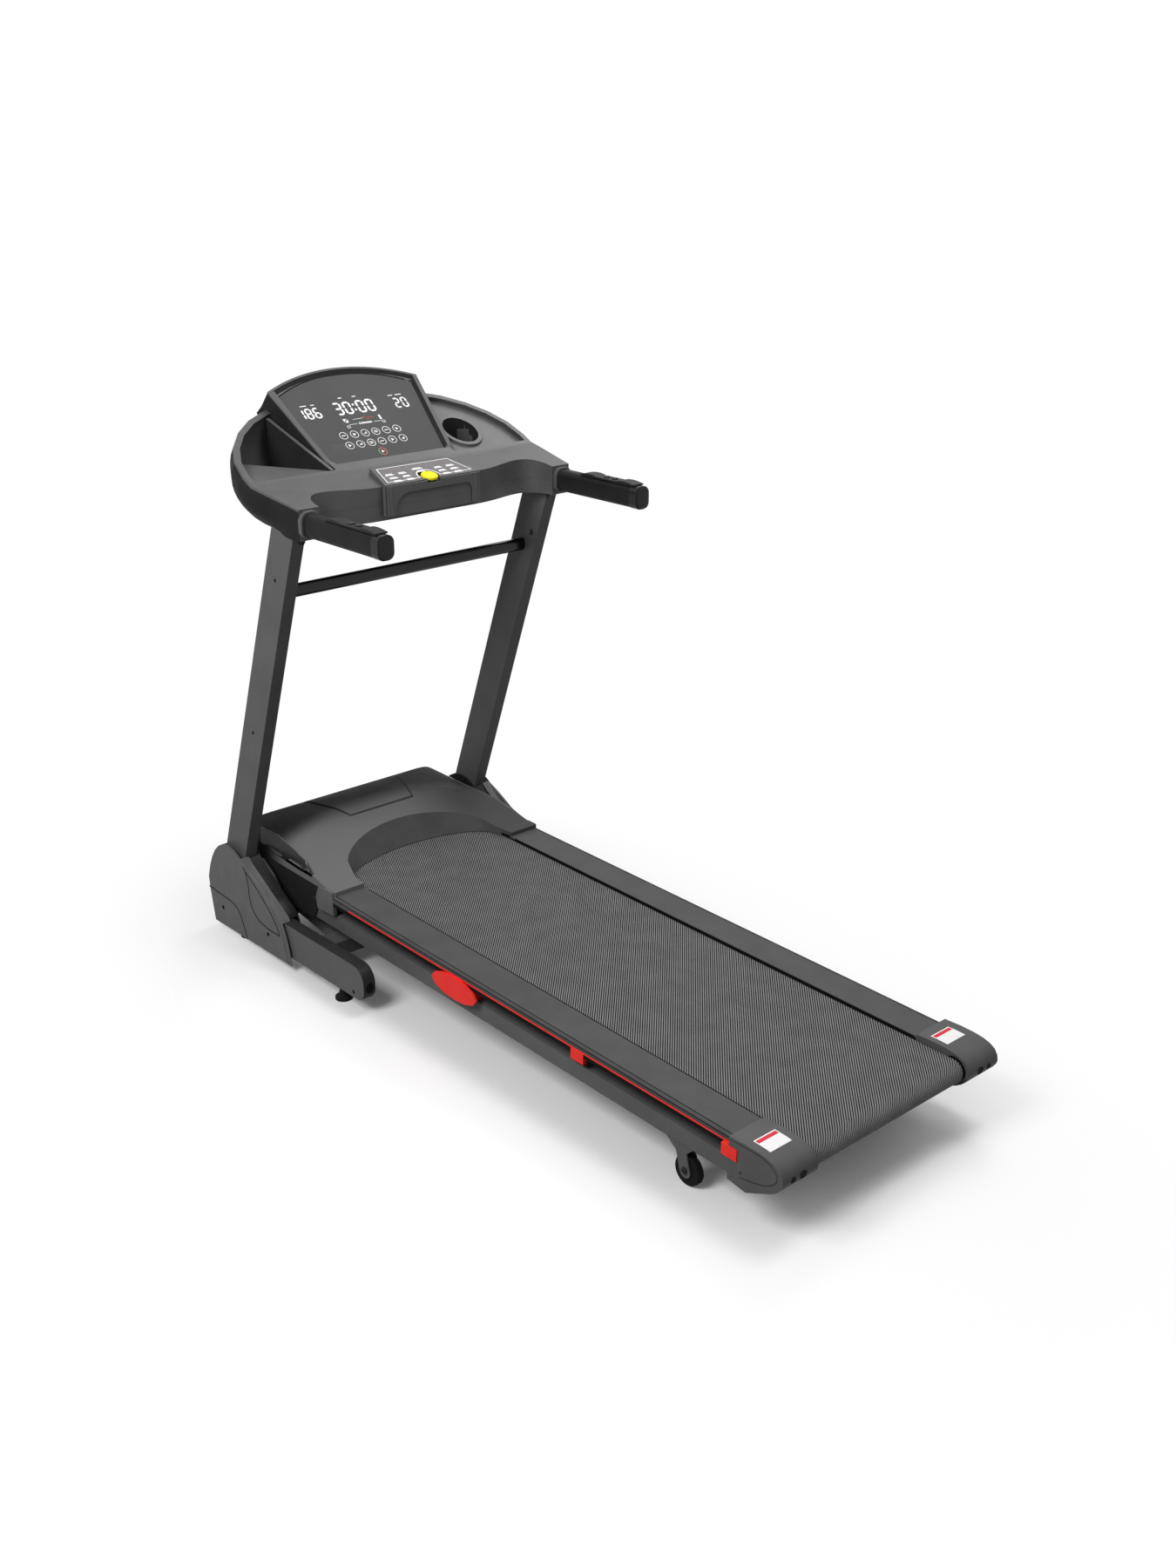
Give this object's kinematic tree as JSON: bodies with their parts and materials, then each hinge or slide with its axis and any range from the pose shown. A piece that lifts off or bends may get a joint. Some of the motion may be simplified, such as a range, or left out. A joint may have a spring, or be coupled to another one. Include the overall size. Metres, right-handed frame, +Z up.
{
  "type": "folding treadmill",
  "caption": "Folding motorised treadmill with powered incline, leaning uprights, a console with trays and straight handlebars.",
  "frame": {"origin": "bottom centre of the whole machine, on the floor", "axes": "+X to the right of a runner, +Y from the rear of the deck towards the console, +Z up"},
  "size_m": [0.76, 1.8224, 1.3221],
  "materials": {
    "powder_coat": "satin",
    "gloss_tube": "gloss",
    "textured_abs": "fine texture",
    "gloss_abs": "semi gloss",
    "red_elastomer": "satin",
    "running_belt": "ribbed",
    "black_rubber": "matte",
    "soft_rubber": "matte",
    "button_plastic": "satin",
    "yellow_key": "satin",
    "display_film": "satin film",
    "keypad_membrane": "satin film",
    "circuit_board": "solder mask",
    "bright_steel": "turned",
    "motor_paint": "satin",
    "heat_sink": "extruded",
    "deck_board": "waxed"
  },
  "bodies": {
    "base": {"base_tube_left": "powder_coat", "levelling_foot_left": "black_rubber", "upright_left": "powder_coat", "base_cover_outer_left": "textured_abs", "base_cover_inner_left": "gloss_abs", "base_tube_right": "powder_coat", "levelling_foot_right": "black_rubber", "upright_right": "powder_coat", "base_cover_outer_right": "textured_abs", "base_cover_inner_right": "gloss_abs", "base_cross_rear": "powder_coat", "base_cross_front": "powder_coat", "cross_bar": "gloss_tube", "console_upper": "textured_abs", "console_lower": "textured_abs", "display_panel": "display_film", "console_board": "circuit_board", "keypad": "keypad_membrane", "handlebar_left": "gloss_tube", "handle_switch_left": "soft_rubber", "handlebar_right": "gloss_tube", "handle_switch_right": "soft_rubber"},
    "deck": {"frame_tube_left": "powder_coat", "frame_tube_right": "powder_coat", "frame_cross_rear": "powder_coat", "frame_cross_mid": "powder_coat", "frame_cross_motor": "powder_coat", "running_board": "deck_board", "deck_cushion_left": "red_elastomer", "deck_cushion_right": "red_elastomer", "side_rail_left": "textured_abs", "side_rail_right": "textured_abs", "end_cap_left": "textured_abs", "end_cap_right": "textured_abs", "running_belt": "running_belt", "motor_hood": "textured_abs", "motor_pan": "gloss_abs", "drive_belt": "soft_rubber", "drive_motor": "motor_paint", "motor_controller": "heat_sink", "power_inlet": "gloss_abs"},
    "incline_frame": {"incline_frame": "powder_coat"},
    "pivot_shaft": {"pivot_shaft": "bright_steel"},
    "strut_cylinder": {"strut_cylinder": "motor_paint"},
    "strut_rod": {"strut_rod": "bright_steel"},
    "lift_motor": {"lift_motor": "motor_paint"},
    "lift_rod": {"lift_rod": "bright_steel"},
    "front_roller": {"front_roller": "bright_steel"},
    "rear_roller": {"rear_roller": "bright_steel"},
    "motor_rotor": {"motor_rotor": "bright_steel"},
    "rear_wheel_left": {"rear_wheel_left": "black_rubber"},
    "rear_wheel_right": {"rear_wheel_right": "black_rubber"},
    "transport_wheel_left": {"transport_wheel_left": "black_rubber"},
    "transport_wheel_right": {"transport_wheel_right": "black_rubber"},
    "safety_key": {"safety_key": "yellow_key"},
    "incline_down_button": {"incline_down_button": "button_plastic"},
    "incline_up_button": {"incline_up_button": "button_plastic"},
    "speed_down_button": {"speed_down_button": "button_plastic"},
    "speed_up_button": {"speed_up_button": "button_plastic"},
    "power_switch": {"power_switch": "button_plastic"}
  },
  "joints": [
    {"name": "incline", "type": "hinge", "parent": "base", "child": "incline_frame", "pos_m": [0, 0.56918, 0.058], "axis": [1, 0, 0], "range_deg": [0, 30]},
    {"name": "deck_level", "type": "hinge", "parent": "incline_frame", "child": "pivot_shaft", "pos_m": [0, 0.83098, 0.09895], "axis": [-1, 0, 0], "range_deg": [0, 25.15]},
    {"name": "deck_fold", "type": "hinge", "parent": "pivot_shaft", "child": "deck", "pos_m": [0, 0.83098, 0.09895], "axis": [-1, 0, 0], "range_deg": [0, 61]},
    {"name": "strut_swing", "type": "hinge", "parent": "pivot_shaft", "child": "strut_cylinder", "pos_m": [-0.06, 0.76142, 0.07562], "axis": [-1, 0, 0], "range_deg": [0, 67.16]},
    {"name": "strut_stroke", "type": "slide", "parent": "strut_cylinder", "child": "strut_rod", "axis": [0, -0.9977, 0.0671], "range_m": [0, 0.06189]},
    {"name": "lift_swing", "type": "hinge", "parent": "base", "child": "lift_motor", "pos_m": [0.06, 0.77418, 0.084], "axis": [1, 0, 0], "range_deg": [0, 1.85]},
    {"name": "lift_stroke", "type": "slide", "parent": "lift_motor", "child": "lift_rod", "axis": [0, -0.997, 0.0778], "range_m": [0, 0.02071]},
    {"name": "front_roller_turn", "type": "hinge", "parent": "deck", "child": "front_roller", "pos_m": [0, 0.65952, 0.1744], "axis": [1, 0, 0], "continuous": true},
    {"name": "rear_roller_turn", "type": "hinge", "parent": "deck", "child": "rear_roller", "pos_m": [0, -0.8739, 0.14522], "axis": [1, 0, 0], "continuous": true},
    {"name": "motor_turn", "type": "hinge", "parent": "deck", "child": "motor_rotor", "pos_m": [0, 0.77879, 0.21377], "axis": [1, 0, 0], "continuous": true},
    {"name": "rear_wheel_left_turn", "type": "hinge", "parent": "deck", "child": "rear_wheel_left", "pos_m": [-0.277, -0.65301, 0.032], "axis": [1, 0, 0], "continuous": true},
    {"name": "rear_wheel_right_turn", "type": "hinge", "parent": "deck", "child": "rear_wheel_right", "pos_m": [0.277, -0.65301, 0.032], "axis": [1, 0, 0], "continuous": true},
    {"name": "transport_wheel_left_turn", "type": "hinge", "parent": "base", "child": "transport_wheel_left", "pos_m": [-0.353, 0.85918, 0.0347], "axis": [1, 0, 0], "continuous": true},
    {"name": "transport_wheel_right_turn", "type": "hinge", "parent": "base", "child": "transport_wheel_right", "pos_m": [0.353, 0.85918, 0.0347], "axis": [1, 0, 0], "continuous": true},
    {"name": "safety_key_pull", "type": "slide", "parent": "base", "child": "safety_key", "axis": [0, -0.2425, 0.9701], "range_m": [0, 0.05]},
    {"name": "power_switch_rock", "type": "hinge", "parent": "deck", "child": "power_switch", "pos_m": [-0.15, 0.90357, 0.18434], "axis": [1, 0, 0], "range_deg": [0, 9]},
    {"name": "incline_down_press", "type": "slide", "parent": "base", "child": "incline_down_button", "axis": [0, 0, -1], "range_m": [0, 0.0015], "stiffness_N_per_m": 400, "springref_m": -0.0005},
    {"name": "incline_up_press", "type": "slide", "parent": "base", "child": "incline_up_button", "axis": [0, 0, -1], "range_m": [0, 0.0015], "stiffness_N_per_m": 400, "springref_m": -0.0005},
    {"name": "speed_down_press", "type": "slide", "parent": "base", "child": "speed_down_button", "axis": [0, 0, -1], "range_m": [0, 0.0015], "stiffness_N_per_m": 400, "springref_m": -0.0005},
    {"name": "speed_up_press", "type": "slide", "parent": "base", "child": "speed_up_button", "axis": [0, 0, -1], "range_m": [0, 0.0015], "stiffness_N_per_m": 400, "springref_m": -0.0005}
  ],
  "couplings": [
    {"joint": "deck_level", "follows": "incline", "ratio": 0.83809},
    {"joint": "lift_swing", "follows": "incline", "ratio": 0.061162},
    {"joint": "lift_stroke", "follows": "incline", "m_per_rad": 0.039371},
    {"joint": "strut_swing", "follows": "deck_fold", "ratio": 1.1002},
    {"joint": "strut_stroke", "follows": "deck_fold", "m_per_rad": 0.058039},
    {"joint": "rear_roller_turn", "follows": "front_roller_turn", "ratio": 1},
    {"joint": "motor_turn", "follows": "front_roller_turn", "ratio": 1.8889}
  ]
}
